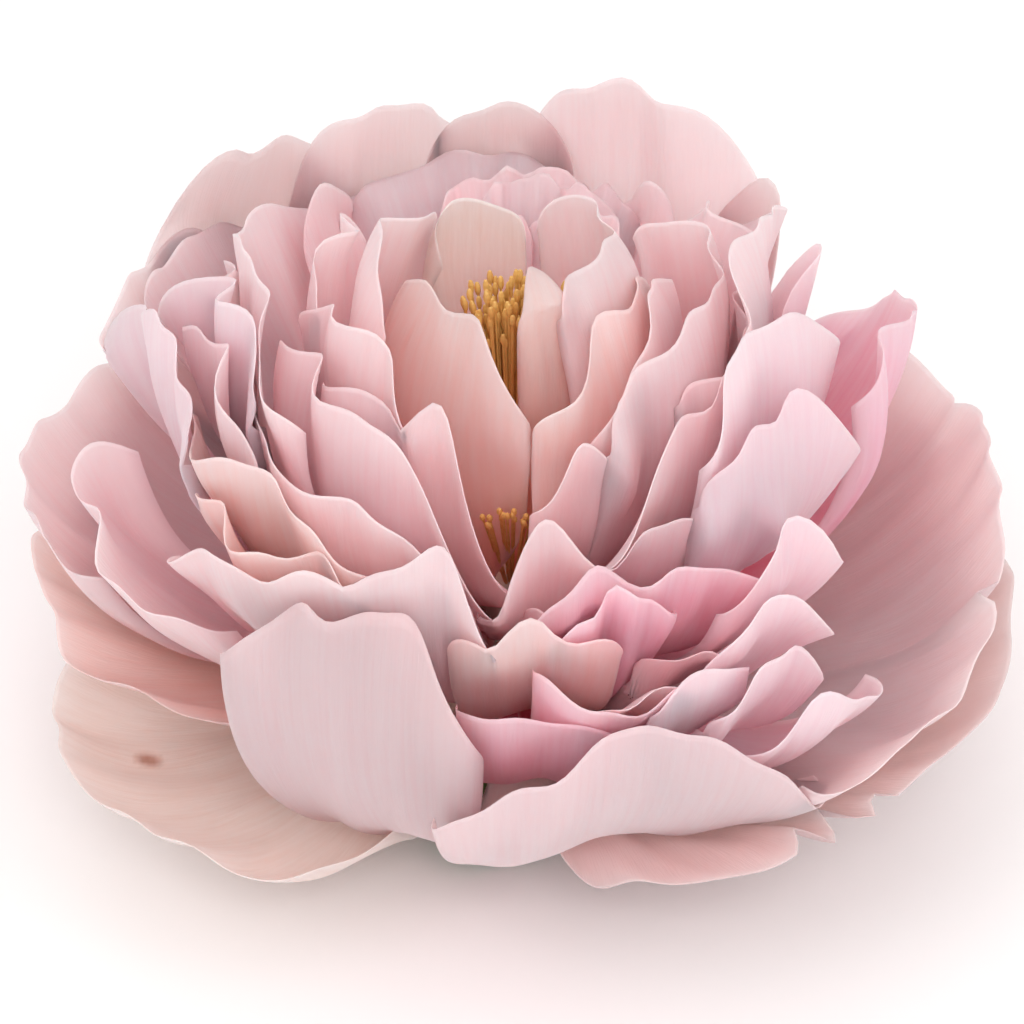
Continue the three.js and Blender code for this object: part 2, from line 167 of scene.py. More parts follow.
# How much finer a plain paper's bump is than its clouds of colour
FINE_GRAIN = 6


def link(tree, outlet, inlet):
    tree.links.new(outlet, inlet)


def feed(tree, value, inlet):
    """Links another node's outlet to an inlet, or gives the inlet a plain value."""
    if isinstance(value, bpy.types.NodeSocket):
        link(tree, value, inlet)
    else:
        inlet.default_value = value


def math_node(tree, operation, first, second, clamp=False):
    """One sum on two values, each a number or another node's outlet."""
    node = tree.nodes.new("ShaderNodeMath")
    node.operation = operation
    node.use_clamp = clamp
    feed(tree, first, node.inputs[0])
    feed(tree, second, node.inputs[1])
    return node.outputs[0]


def blend(tree, share, first, second):
    """A mix of two colours, each a colour or another node's outlet."""
    node = tree.nodes.new("ShaderNodeMix")
    node.data_type = "RGBA"
    feed(tree, share, node.inputs[0])
    feed(tree, first, node.inputs[6])
    feed(tree, second, node.inputs[7])
    return node.outputs[2]


def noise(tree, place, scale, stretch, detail=3.0):
    """Noise on a vector, stretched by a Mapping node."""
    mapping = tree.nodes.new("ShaderNodeMapping")
    mapping.inputs["Scale"].default_value = stretch
    link(tree, place, mapping.inputs["Vector"])
    node = tree.nodes.new("ShaderNodeTexNoise")
    node.inputs["Scale"].default_value = scale
    node.inputs["Detail"].default_value = detail
    link(tree, mapping.outputs[0], node.inputs["Vector"])
    return node.outputs["Fac"]


def crepe_group():
    """Colour, with painted shade, and surface height of tinted crepe, from a petal's own attributes and its
    map in millimetres.
    """
    tree = bpy.data.node_groups.new("tinted_crepe", "ShaderNodeTree")
    sockets = tree.interface
    for name in ("Foot", "Body", "Rim"):
        sockets.new_socket(name, in_out="INPUT", socket_type="NodeSocketColor")
    sockets.new_socket("Vein", in_out="INPUT", socket_type="NodeSocketFloat")
    sockets.new_socket("Color", in_out="OUTPUT", socket_type="NodeSocketColor")
    sockets.new_socket("Height", in_out="OUTPUT", socket_type="NodeSocketFloat")
    inlet = tree.nodes.new("NodeGroupInput").outputs
    outlet = tree.nodes.new("NodeGroupOutput").inputs

    def attribute(name):
        node = tree.nodes.new("ShaderNodeAttribute")
        node.attribute_name = name
        return node.outputs["Fac"]

    marks = ("along", "foot_tint_and_shade", "inner", "edge", "spot", "painted_shade")
    along, foot_tint_and_shade, inner, edge, spot, painted_shade = (attribute(name) for name in marks)
    uv_map = tree.nodes.new("ShaderNodeUVMap")
    uv_map.uv_map = "petal_map"
    grain = uv_map.outputs["UV"]
    place = tree.nodes.new("ShaderNodeTexCoord").outputs["Object"]

    cloud = noise(tree, place, CLOUD_SCALE, (1, 1, 1), 2.0)
    streak = noise(tree, grain, 1.0, STREAK_STRETCH, 3.0)
    vein = noise(tree, grain, 1.0, VEIN_STRETCH, 2.0)
    ridge = noise(tree, grain, 1.0, RIDGE_STRETCH, 2.0)

    waver = math_node(tree, "MULTIPLY", math_node(tree, "SUBTRACT", streak, 0.5), STREAK_WAVER)
    drift = math_node(tree, "MULTIPLY", math_node(tree, "SUBTRACT", cloud, 0.5), CLOUD_DRIFT)
    level = math_node(tree, "ADD", math_node(tree, "ADD", along, waver), drift)
    raised = math_node(tree, "SUBTRACT", foot_tint_and_shade, 0.5)
    climb = math_node(tree, "SUBTRACT", 1.0, math_node(tree, "SUBTRACT", level, raised), True)
    # The foot's colour, partly ink and partly painted shade of the recesses, fades above its wavering edge
    foot_ink_and_shade = math_node(tree, "POWER", climb, INK_AND_SHADE_FADE, True)
    body = blend(tree, foot_ink_and_shade, inlet["Body"], inlet["Foot"])
    depth = math_node(tree, "SUBTRACT", VEIN_LEVEL, vein, True)
    depth = math_node(tree, "MULTIPLY", depth, inlet["Vein"])
    depth = math_node(tree, "MULTIPLY", depth, VEIN_SHARPNESS, True)
    shaded = blend(tree, depth, body, inlet["Foot"])
    pale = math_node(tree, "MULTIPLY", math_node(tree, "POWER", edge, 2.0, True), RIM_SHARE)
    rimmed = blend(tree, pale, shaded, inlet["Rim"])
    # Painted shade: every petal's inner face is blended a little towards its foot's colour
    inner_face_shaded = blend(tree, math_node(tree, "MULTIPLY", inner, INNER_SHADE_SHARE), rimmed, inlet["Foot"])
    # Painted shade: petals that stand in shade are blended towards a dark brownish mauve, by the share listed
    # for each
    darkened = blend(tree, math_node(tree, "MULTIPLY", painted_shade, PAINTED_SHADE_SHARE), inner_face_shaded, PAINTED_SHADE_TINT)
    stained = blend(tree, math_node(tree, "MULTIPLY", spot, SPOT_SHARE), darkened, SPOT_TINT)
    link(tree, stained, outlet["Color"])
    ridges = math_node(tree, "MULTIPLY", ridge, RIDGE_HEIGHT)
    veins = math_node(tree, "MULTIPLY", vein, VEIN_HEIGHT)
    link(tree, math_node(tree, "ADD", ridges, veins), outlet["Height"])
    return tree


def raise_grain(tree, height, bump_size, shader):
    """A bump from a height, of a strength and a depth in metres."""
    bump = tree.nodes.new("ShaderNodeBump")
    bump.inputs["Strength"].default_value, bump.inputs["Distance"].default_value = bump_size
    link(tree, height, bump.inputs["Height"])
    link(tree, bump.outputs[0], shader.inputs["Normal"])


CREPE = crepe_group()
PALE, LILAC, SALMON, ROSE = "pale_crepe", "lilac_crepe", "salmon_crepe", "rose_crepe"
DUSKY, CREAM, GREEN = "dusky_crepe", "cream_crepe", "green_crepe"

# slot: colour at the foot, which is partly painted shade of the recesses, over the body and at the rim,
# strength of the veins
CREPES = {
    PALE: ((0.94, 0.34, 0.40), (0.94, 0.645, 0.67), (0.90, 0.70, 0.72), 0.18),
    LILAC: ((0.90, 0.32, 0.46), (0.93, 0.63, 0.69), (0.89, 0.70, 0.74), 0.18),
    SALMON: ((0.95, 0.27, 0.20), (0.94, 0.60, 0.57), (0.90, 0.71, 0.70), 0.18),
    ROSE: ((0.88, 0.12, 0.24), (0.94, 0.47, 0.57), (0.90, 0.69, 0.74), 0.18),
    DUSKY: ((0.88, 0.46, 0.46), (0.90, 0.62, 0.64), (0.88, 0.67, 0.68), 0.25),
    CREAM: ((0.70, 0.40, 0.30), (0.87, 0.71, 0.65), (0.88, 0.76, 0.72), 0.25),
    GREEN: ((0.03, 0.07, 0.02), (0.05, 0.11, 0.035), (0.08, 0.16, 0.05), 0.4),
}


def crepe_finish(slot):
    """Tinted crepe for one of the record's slots."""
    foot, body, rim, vein = CREPES[slot]
    finish = bpy.data.materials.new(slot)
    finish.use_nodes = True
    tree = finish.node_tree
    shader = tree.nodes["Principled BSDF"]
    tint = tree.nodes.new("ShaderNodeGroup")
    tint.node_tree = CREPE
    for name, value in (("Foot", foot), ("Body", body), ("Rim", rim)):
        tint.inputs[name].default_value = (*value, 1.0)
    tint.inputs["Vein"].default_value = vein
    link(tree, tint.outputs["Color"], shader.inputs["Base Color"])
    raise_grain(tree, tint.outputs["Height"], CREPE_BUMP, shader)
    shader.inputs["Roughness"].default_value = CREPE_MATT
    shader.inputs["Specular IOR Level"].default_value = CREPE_SHINE
    shader.inputs["Sheen Weight"].default_value = CREPE_SHEEN
    shader.inputs["Subsurface Weight"].default_value = GLOW_SHARE
    shader.inputs["Subsurface Radius"].default_value = GLOW_SPREAD
    shader.inputs["Subsurface Scale"].default_value = GLOW_DEPTH
    return finish


FINISHES = {slot: crepe_finish(slot) for slot in CREPES}


def plain_finish(slot, dark, light, grain, roughness):
    """A matt paper finish that drifts between two colours over the piece."""
    finish = bpy.data.materials.new(slot)
    finish.use_nodes = True
    tree = finish.node_tree
    shader = tree.nodes["Principled BSDF"]
    place = tree.nodes.new("ShaderNodeTexCoord").outputs["Object"]
    cloud = noise(tree, place, grain, (1, 1, 1))
    link(tree, blend(tree, cloud, (*dark, 1.0), (*light, 1.0)), shader.inputs["Base Color"])
    raise_grain(tree, noise(tree, place, grain * FINE_GRAIN, (1, 1, 1)), PLAIN_BUMP, shader)
    shader.inputs["Roughness"].default_value = roughness
    return finish


def dress(node, finish):
    """Puts a finish on a solid of the frame."""
    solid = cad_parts[node]
    for slot in solid.material_slots:
        slot.link = "OBJECT"
        slot.material = finish


# Ball and stub
# The ball is crumpled tissue pressed round the wire's end. The stub is the wire, wound with green stem tape.
dress("core_ball", plain_finish("tissue_ball", (0.70, 0.60, 0.52), (0.84, 0.78, 0.70), 160.0, 0.9))
dress("taped_stub", plain_finish("stem_tape", (0.05, 0.10, 0.03), (0.12, 0.20, 0.07), 220.0, 0.65))

# Stamens
# Strips of golden paper, slit into threads and rolled round the ball's top. Each thread ends in an anther.
BALL_HEIGHT = 28.0
# Where paper is glued on: the ball's radius with its glue
BALL_TOP = 12.3
THREAD = 0.22
THREAD_SIDES = 5
ANTHER = 0.7
ANTHER_SIDES = 6
ANTHER_RINGS = 5
ANTHER_SHAPE = (0.8, 0.8, 1.9)
# Shortest and longest thread, as shares of the reach
LENGTHS = (0.9, 1.02)
FRINGES = (
    # name, threads, reach, least and most tilt, first and last turn, seed
    ("stamen_crown", 150, 62.0, (1.5, 8.0), (0, 360), 3),
    ("stamen_strip", 46, 49.0, (35.5, 38.0), (-100, -66), 8),
)


def fringe_tree():
    """Threads that stand out from one point, between two tilts and two turns, with an anther on each."""
    tree = bpy.data.node_groups.new("slit_fringe", "GeometryNodeTree")
    numbers = ("Start", "Reach", "Thread", "Anther", "Least Tilt", "Most Tilt", "First Turn", "Last Turn")
    tree.interface.new_socket("Threads", in_out="INPUT", socket_type="NodeSocketInt")
    for name in numbers:
        tree.interface.new_socket(name, in_out="INPUT", socket_type="NodeSocketFloat")
    tree.interface.new_socket("Seed", in_out="INPUT", socket_type="NodeSocketInt")
    tree.interface.new_socket("Finish", in_out="INPUT", socket_type="NodeSocketMaterial")
    tree.interface.new_socket("Geometry", in_out="OUTPUT", socket_type="NodeSocketGeometry")
    inlet = tree.nodes.new("NodeGroupInput").outputs
    outlet = tree.nodes.new("NodeGroupOutput").inputs

    def add(kind, **values):
        node = tree.nodes.new(kind)
        for name, value in values.items():
            node.inputs[name.replace("_", " ")].default_value = value
        return node

    def random_between(least, most, step):
        node = tree.nodes.new("FunctionNodeRandomValue")
        feed(tree, least, node.inputs[2])
        feed(tree, most, node.inputs[3])
        link(tree, math_node(tree, "ADD", inlet["Seed"], step), node.inputs["Seed"])
        return node.outputs[1]

    def vector(x=None, y=None, z=None):
        node = tree.nodes.new("ShaderNodeCombineXYZ")
        for position, value in enumerate((x, y, z)):
            if value is not None:
                link(tree, value, node.inputs[position])
        return node.outputs[0]

    thread = add("GeometryNodeMeshCylinder", Vertices=THREAD_SIDES)
    link(tree, inlet["Thread"], thread.inputs["Radius"])
    link(tree, math_node(tree, "SUBTRACT", inlet["Reach"], inlet["Start"]), thread.inputs["Depth"])
    lifted = tree.nodes.new("GeometryNodeTransform")
    link(tree, thread.outputs["Mesh"], lifted.inputs["Geometry"])
    half_way = math_node(tree, "MULTIPLY", math_node(tree, "ADD", inlet["Reach"], inlet["Start"]), 0.5)
    link(tree, vector(z=half_way), lifted.inputs["Translation"])
    anther = add("GeometryNodeMeshUVSphere", Segments=ANTHER_SIDES, Rings=ANTHER_RINGS)
    link(tree, inlet["Anther"], anther.inputs["Radius"])
    seated = add("GeometryNodeTransform", Scale=ANTHER_SHAPE)
    link(tree, anther.outputs["Mesh"], seated.inputs["Geometry"])
    link(tree, vector(z=inlet["Reach"]), seated.inputs["Translation"])
    stamen = tree.nodes.new("GeometryNodeJoinGeometry")
    link(tree, lifted.outputs[0], stamen.inputs[0])
    link(tree, seated.outputs[0], stamen.inputs[0])
    points = tree.nodes.new("GeometryNodePoints")
    link(tree, inlet["Threads"], points.inputs["Count"])
    spread = tree.nodes.new("GeometryNodeInstanceOnPoints")
    link(tree, points.outputs[0], spread.inputs["Points"])
    link(tree, stamen.outputs[0], spread.inputs["Instance"])
    tilt = random_between(inlet["Least Tilt"], inlet["Most Tilt"], 1.0)
    turn = random_between(inlet["First Turn"], inlet["Last Turn"], 2.0)
    link(tree, vector(y=tilt, z=turn), spread.inputs["Rotation"])
    link(tree, random_between(*LENGTHS, 3.0), spread.inputs["Scale"])
    real = tree.nodes.new("GeometryNodeRealizeInstances")
    link(tree, spread.outputs[0], real.inputs[0])
    coloured = tree.nodes.new("GeometryNodeSetMaterial")
    link(tree, real.outputs[0], coloured.inputs["Geometry"])
    link(tree, inlet["Finish"], coloured.inputs["Material"])
    link(tree, coloured.outputs[0], outlet["Geometry"])
    return tree


def fringe_piece(tree, finish, name, threads, reach, tilts, turns, seed):
    """Grows one fringe, turns it into a plain mesh on the ball and lets it stand for its plain solid."""
    grower = bpy.data.objects.new(name + "_grower", bpy.data.meshes.new(name + "_grower"))
    scene.collection.objects.link(grower)
    growth = grower.modifiers.new("fringe", "NODES")
    growth.node_group = tree
    tilts = [math.radians(tilt) for tilt in tilts]
    turns = [math.radians(turn) for turn in turns]
    sizes = {
        "Threads": threads, "Start": BALL_TOP * MM, "Reach": reach * MM, "Thread": THREAD * MM, "Seed": seed,
        "Anther": ANTHER * MM, "Least Tilt": tilts[0], "Most Tilt": tilts[1], "First Turn": turns[0],
        "Last Turn": turns[1], "Finish": finish,
    }
    for socket in tree.interface.items_tree:
        if socket.in_out == "INPUT":
            growth[socket.identifier] = sizes[socket.name]
    grown = grower.evaluated_get(bpy.context.evaluated_depsgraph_get())
    mesh = bpy.data.meshes.new_from_object(grown)
    bpy.data.objects.remove(grower)
    lift = np.zeros(len(mesh.vertices) * 3, np.float32)
    mesh.vertices.foreach_get("co", lift)
    lift[2::3] += BALL_HEIGHT * MM
    mesh.vertices.foreach_set("co", lift)
    mesh.update()
    piece = bpy.data.objects.new(name + "_threads", mesh)
    scene.collection.objects.link(piece)
    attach(piece, "root")
    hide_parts(name)


golden = plain_finish("golden_fringe", (0.66, 0.32, 0.06), (0.90, 0.64, 0.22), 400.0, 0.6)
fringes = fringe_tree()
for fringe in FRINGES:
    fringe_piece(fringes, golden, *fringe)

# Petals
# Each petal is cut with a narrow foot, stretched over the thumb into a cup, ruffled at the rim, and glued by
# its foot to the ball. A point of it is given by its turn round the stem, its distance from the ball's centre
# and its tilt from the stem's axis. Every petal is laid over those before it with a small clearance.
SHEET = 0.3
CLEARANCE = 0.45
PETAL_FOOT = 7.0
LEAST_TILT = 9.0
GOLDEN_TURN = 137.5
PHASES = 8
# How far out the side edges part, and the edges' reach as a share of the middle's, where nothing else is said
FAN_FROM = 0.5
SHOULDER = 0.87
# How far past its edges and its rim a petal's form goes on
PAST_EDGE = 1.1
PAST_RIM = 1.05
# Nicks of the rim: height as a share of the reach, waves for each ruffle wave, and the fine ones' height
# and width
RIM_NICK = 0.011
NICK_WAVES = (2, 3)
FINE_NICK = 0.45
FINE_NICK_WIDTH = 4.6
# Waves of the paper across a petal, for each ruffle wave or each so many millimetres of width
RUFFLE_WAVES = (1.6, 2.9)
SPAN = 11.0
FRILL = 1.3
FRILL_WAVES = (1.7, 3.3)
FRILLED_WIDTH = 45.0
FRILL_FROM = 0.7
FRILL_BAND = 0.3
# Dents: height, then waves across, slanting and along
PUCKER = 1.1
PUCKER_WAVES = (1.3, 5.0, 7.0)
CRUMPLE = 0.45
CRUMPLE_WAVES = (2.6, 9.0, 11.0)
# The band at the rim and the side edges that thins and pales, and the share of the thickness lost there
EDGE_FROM = 0.86
EDGE_BAND = 0.14
RIM_TAPER = 0.65
# Faces of a petal: size, least and most of them, and how they crowd towards the edges and the rim
FACE_WIDTH = 0.95
FACE_LENGTH = 1.15
COLUMN_LIMITS = (26, 110)
ROW_LIMITS = (30, 66)
EDGE_CROWDING = 0.985
RIM_CROWDING = 0.12
GRAIN_SHIFT = 37.0
SPOT_SOFTNESS = 1.6
# The net that the petals are laid on, round the stem and out from the ball
ROOT = BALL_TOP
COLUMNS = 240
RINGS = 86
OUTERMOST = 98.0
SETTLE_ROUNDS = 30
SIDE_MARGIN = 2.5
RIM_MARGIN = 2.5
# The room inside the first petals that the stamens take
CROWN_REACH = 70.0
CROWN_ROOM = 11.0

net_turn = np.arange(COLUMNS)[:, None] * 360.0 / COLUMNS + np.zeros((1, RINGS))
net_distance = np.linspace(ROOT, OUTERMOST, RINGS)[None, :] + np.zeros((COLUMNS, 1))
ring_gap = (OUTERMOST - ROOT) / (RINGS - 1)
laid = np.where(net_distance < CROWN_REACH, CROWN_ROOM, 0.0)


def at(field, turn, distance):
    """A value of the net between its crossings."""
    x = (turn % 360.0) * COLUMNS / 360.0
    y = np.clip((distance - ROOT) / ring_gap, 0, RINGS - 1.001)
    column = np.floor(x).astype(int)
    ring = np.floor(y).astype(int)
    x, y = x - column, y - ring
    column %= COLUMNS
    after = (column + 1) % COLUMNS
    near = field[column, ring] * (1 - x) + field[after, ring] * x
    far = field[column, ring + 1] * (1 - x) + field[after, ring + 1] * x
    return near * (1 - y) + far * y


def through(values, across):
    """A smooth curve through values set evenly from one edge of a petal, -1, to the other, 1."""
    values = np.array(values, float)
    place = (np.clip(across, -1, 1) + 1) / 2 * (len(values) - 1)
    start = np.minimum(np.floor(place).astype(int), len(values) - 2)
    part = place - start
    before, first = values[np.maximum(start - 1, 0)], values[start]
    second, after = values[start + 1], values[np.minimum(start + 2, len(values) - 1)]
    slope = second - before
    bend = 2 * before - 5 * first + 4 * second - after
    twist = 3 * (first - second) + after - before
    return first + part / 2 * (slope + part * (bend + part * twist))


# The nicks and tears of the two guards whose rims show them: place across, width and depth
TEARS = {
    "guard_low_right": ((-0.34, 0.05, 0.09), (-0.24, 0.04, 0.13), (-0.14, 0.03, 0.07)),
    "guard_right": ((-0.24, 0.03, 0.05), (0.62, 0.03, 0.02)),
}
SEPALS = ("sepal_1", "sepal_2", "sepal_3", "sepal_4")
# Petals cut rounder than the rest: reach at their two edges as a share of the middle's, how far out the side
# edges part, and how much further one side reaches
ROUND_CUTS = {
    "guard_low_left": (0.5, 0.6, -0.05),
    "guard_low_right": (0.6, 0.5, 0.16),
    "guard_front_left": (0.86, 2.0, -0.03),
    "guard_left": (0.6, 0.5, -0.12),
    "lobe_left": (0.8, 0.6, -0.06),
    "back_right_point": (0.55, 0.6, 0.0),
    **dict.fromkeys(("tip_back", "tooth_right"), (0.6, 0.6, 0.0)),
    **dict.fromkeys(("curled_strip", "rosette_inner", "rosette_right", "rosette_outer"), (0.7, 0.7, 0.0)),
    **dict.fromkeys(SEPALS, (0.55, 0.5, 0.0)),
}
# Petals cut to a narrow foot, and its width
SLENDER_FEET = {"guard_front_left": 3.0}
# Petals darkened with painted shade where they stand in shade, and how far
SHADED_PETALS = {
    "guard_low_right": 1.0,
    "guard_right": 0.3,
    "guard_front_left": 0.5,
    "guard_front_right": 0.4,
    "guard_left_far": 0.4,
    "guard_low_left": 0.25,
    "guard_left_back": 0.45,
    "guard_back_left": 0.2,
    "guard_back_dark": 0.6,
    "back_right_point": 0.5,
    "guard_left": 0.2,
}
# Brown spots: place across and along, and radius
BROWN_SPOTS = {"guard_low_left": (-0.42, 0.78, 1.7)}


class Petal:
    """One petal's form. across runs from -1 to 1 between its edges, along from 0 at the foot to 1."""

    def __init__(self, name, edges, reach, body, rims, lip, ruffle, waves, bluntness, seed):
        self.name, self.body, self.rims, self.lip = name, body, rims, lip
        self.ruffle, self.waves, self.bluntness = ruffle, waves, bluntness
        self.shoulder, self.fan_from, self.slant = ROUND_CUTS.get(name, (SHOULDER, FAN_FROM, 0.0))
        self.tears = TEARS.get(name, ())
        self.turn = sum(edges) / 2
        self.spread = (edges[1] - edges[0]) / 2
        foot = SLENDER_FEET.get(name, PETAL_FOOT)
        self.foot_spread = math.degrees(foot / 2 / (ROOT * math.sin(math.radians(body[0]))))
        self.length = reach - ROOT
        middle = math.radians(max(through(rims, 0.0), LEAST_TILT))
        self.width = 2 * math.radians(self.spread) * reach * math.sin(middle)
        self.phase = [math.radians(GOLDEN_TURN * seed * (wave + 1)) for wave in range(PHASES)]

    def half_turn(self, along):
        """Turn from the petal's middle to its edge."""
        share = np.sin(math.pi / 2 * np.clip(along / self.fan_from, 0, 1))
        return self.foot_spread + (self.spread - self.foot_spread) * share

    def rim(self, across):
        """Where along the petal its rim is."""
        across = np.clip(across, -1, 1)
        rounded = (1 - np.abs(across) ** self.bluntness) ** (1 / self.bluntness)
        coarse, close = NICK_WAVES
        nick = np.sin(across * self.waves * coarse + self.phase[0])
        nick = nick + np.sin(across * self.waves * close + self.phase[1]) / 2
        nick = nick + FINE_NICK * np.sin(across * self.width / FINE_NICK_WIDTH + self.phase[4])
        reach = self.shoulder + (1 - self.shoulder) * rounded
        reach = reach * (1 + RIM_NICK * nick + self.slant * across)
        for place, width, depth in self.tears:
            reach = reach - depth * np.clip(1 - np.abs(across - place) / width, 0, 1)
        return reach

    def tilt(self, across, along):
        """Tilt from the stem's axis, with ruffle, frill and dents."""
        across = np.clip(across, -PAST_EDGE, PAST_EDGE)
        distance = ROOT + np.clip(along, 0, PAST_RIM) * self.length
        along = np.clip(along / self.rim(across), 0, PAST_RIM)
        foot, bend = self.body
        rims = through(self.rims, across)
        middle = (1 - along) ** 2 * foot + 2 * along * (1 - along) * bend + along**2 * rims
        slow, quick = RUFFLE_WAVES
        first = np.sin(across * self.waves * slow + self.phase[2])
        second = np.sin(across * self.waves * quick + self.phase[3]) / 2
        wave = self.ruffle * (first + second) * along**2
        span = self.width / SPAN
        near_rim = np.clip((along - FRILL_FROM) / FRILL_BAND, 0, 1) ** 2
        slow, quick = FRILL_WAVES
        frill = np.sin(across * span * slow + self.phase[6])
        frill = frill + 0.5 * np.sin(across * span * quick + self.phase[7])
        fine = near_rim * FRILL * min(1.0, FRILLED_WIDTH / self.width) * frill
        wide, slanting, deep = PUCKER_WAVES
        pucker = np.sin(across * span * wide + along * slanting + self.phase[5])
        pucker = pucker * np.sin(along * deep + self.phase[4])
        wide, slanting, deep = CRUMPLE_WAVES
        crumple = np.sin(across * span * wide - along * slanting + self.phase[2])
        crumple = crumple * np.sin(along * deep + self.phase[6])
        wave = wave + (PUCKER * pucker + CRUMPLE * crumple) * along
        return middle + near_rim * self.lip + np.degrees((wave + fine) / distance)


def soften(field):
    """One round of averaging over the net, which goes round and ends at its rings."""
    round_about = np.concatenate([field[-1:], field, field[:1]])
    beside = round_about[:-2] + round_about[2:]
    padded = np.concatenate([field[:, :1], field, field[:, -1:]], axis=1)
    alongside = padded[:, :-2] + padded[:, 2:]
    return (beside + alongside + 2 * field) / 6


def lay(petal):
    """Eases a petal outwards where it would touch those before it, and notes the room it takes."""
    global laid
    along = (net_distance - ROOT) / petal.length
    away = (net_turn - petal.turn + 180.0) % 360.0 - 180.0
    half = petal.half_turn(np.minimum(along, 1.0))
    across = away / half
    beside = np.abs(across) < 1 + SIDE_MARGIN / half
    used = beside & (along < petal.rim(across) + RIM_MARGIN / petal.length)
    wanted = petal.tilt(across, along)
    least = laid + np.degrees((CLEARANCE + SHEET / 2) / net_distance)
    needed = np.where(used, np.maximum(0.0, least - wanted), 0.0)
    eased = needed
    for _ in range(SETTLE_ROUNDS):
        eased = np.maximum(needed, soften(eased))
    petal.eased = eased
    laid = np.where(used, wanted + eased + np.degrees(SHEET / 2 / net_distance), laid)


def sheet_mesh(name, middle, marks, grain):
    """A closed sheet round a grid of points, with its marks kept as attributes and its grain as a map."""
    rows, columns = middle.shape[:2]
    normal = np.cross(np.gradient(middle, axis=0), np.gradient(middle, axis=1))
    normal /= np.linalg.norm(normal, axis=-1, keepdims=True) + 1e-12
    half_sheet = SHEET / 2 * (1 - RIM_TAPER * marks["edge"] ** 4)[..., None]
    outer = middle + normal * half_sheet
    inner = middle - normal * half_sheet
    points = np.concatenate([outer.reshape(-1, 3), inner.reshape(-1, 3)]) * MM
    number = np.arange(rows * columns).reshape(rows, columns)
    a, b, c, d = number[:-1, :-1], number[1:, :-1], number[1:, 1:], number[:-1, 1:]
    top = np.stack([a, b, c, d], -1).reshape(-1, 4)
    bottom = np.stack([a, d, c, b], -1).reshape(-1, 4) + rows * columns
    border = np.concatenate([number[:, 0], number[-1, 1:], number[-2::-1, -1], number[0, -2:0:-1]])
    following = np.roll(border, -1)
    strip = np.stack([following, border, border + rows * columns, following + rows * columns], -1)
    faces = np.concatenate([top, bottom, strip])
    mesh = bpy.data.meshes.new(name)
    mesh.vertices.add(len(points))
    mesh.vertices.foreach_set("co", points.astype(np.float32).ravel())
    mesh.loops.add(faces.size)
    mesh.loops.foreach_set("vertex_index", faces.astype(np.int32).ravel())
    mesh.polygons.add(len(faces))
    mesh.polygons.foreach_set("loop_start", np.arange(0, faces.size, 4, dtype=np.int32))
    mesh.polygons.foreach_set("use_smooth", np.ones(len(faces), bool))
    mesh.update(calc_edges=True)
    both = {key: np.tile((value + np.zeros((rows, columns))).ravel(), 2) for key, value in marks.items()}
    # Marks the inner face, which the finish gives painted shade
    both["inner"] = np.repeat((0.0, 1.0), rows * columns)
    for key, values in both.items():
        layer = mesh.attributes.new(key, "FLOAT", "POINT")
        layer.data.foreach_set("value", values.astype(np.float32))
    uv = mesh.uv_layers.new(name="petal_map")
    places = np.tile(grain.reshape(-1, 2), (2, 1))
    uv.data.foreach_set("uv", places[faces.ravel()].astype(np.float32).ravel())
    return mesh


def petal_piece(petal, slot, foot_tint_and_shade, node=None):
    """Lays a petal, makes its mesh and lets it stand for its plain solid, where it has one."""
    lay(petal)
    columns = int(np.clip(petal.width / FACE_WIDTH, *COLUMN_LIMITS))
    rows = int(np.clip(petal.length / FACE_LENGTH, *ROW_LIMITS))
    reach = math.pi / 2 * EDGE_CROWDING
    across = (np.sin(np.linspace(-1, 1, columns) * reach) / math.sin(reach))[:, None]
    across = across + np.zeros((columns, rows))
    share = np.linspace(0, 1, rows)[None, :]
    share = share + RIM_CROWDING * np.sin(math.pi * share)
    along = share * petal.rim(across)
    turn = petal.turn + petal.half_turn(np.minimum(along, 1.0)) * across
    distance = ROOT + along * petal.length
    tilt = np.radians(petal.tilt(across, along) + at(petal.eased, turn, distance))
    turn = np.radians(turn)
    x = distance * np.sin(tilt) * np.cos(turn)
    y = distance * np.sin(tilt) * np.sin(turn)
    z = BALL_HEIGHT + distance * np.cos(tilt)
    middle = np.stack([x, y, z], -1)
    grain = np.stack([across * petal.width / 2 + GRAIN_SHIFT * petal.phase[0], along * petal.length], -1)
    side = np.clip((np.abs(across) - EDGE_FROM) / EDGE_BAND, 0, 1)
    edge = np.maximum(np.clip((share - EDGE_FROM) / EDGE_BAND, 0, 1), side)
    marks = {"along": along, "foot_tint_and_shade": foot_tint_and_shade, "edge": edge, "spot": np.zeros(along.shape)}
    # Painted shade, for the petals listed as standing in shade
    marks["painted_shade"] = SHADED_PETALS.get(petal.name, 0.0)
    if petal.name in BROWN_SPOTS:
        aside, out, radius = BROWN_SPOTS[petal.name]
        from_spot = np.hypot((across - aside) * petal.width / 2, (along - out) * petal.length)
        marks["spot"] = np.clip(SPOT_SOFTNESS - from_spot / radius, 0, 1)
    mesh = sheet_mesh(petal.name, middle, marks, grain)
    mesh.materials.append(FINISHES[slot])
    piece = bpy.data.objects.new(petal.name + "_crepe", mesh)
    scene.collection.objects.link(piece)
    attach(piece, "root")
    if node:
        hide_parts(node)


# Small petals tucked between the others, which the plain solids leave out
TUCKED = {
    "crumple_back_left", "crumple_back_right", "crumple_back_high", "inner_fold_right", "fold_left_high",
    "fold_left", "fold_left_low", "fold_right", "fold_right_back", "tip_back", "curled_strip", "tooth_right",
    "rosette_inner", "rosette_right", "rosette_outer", "inner_pink_low",
}
TUCKED_SEED = 60

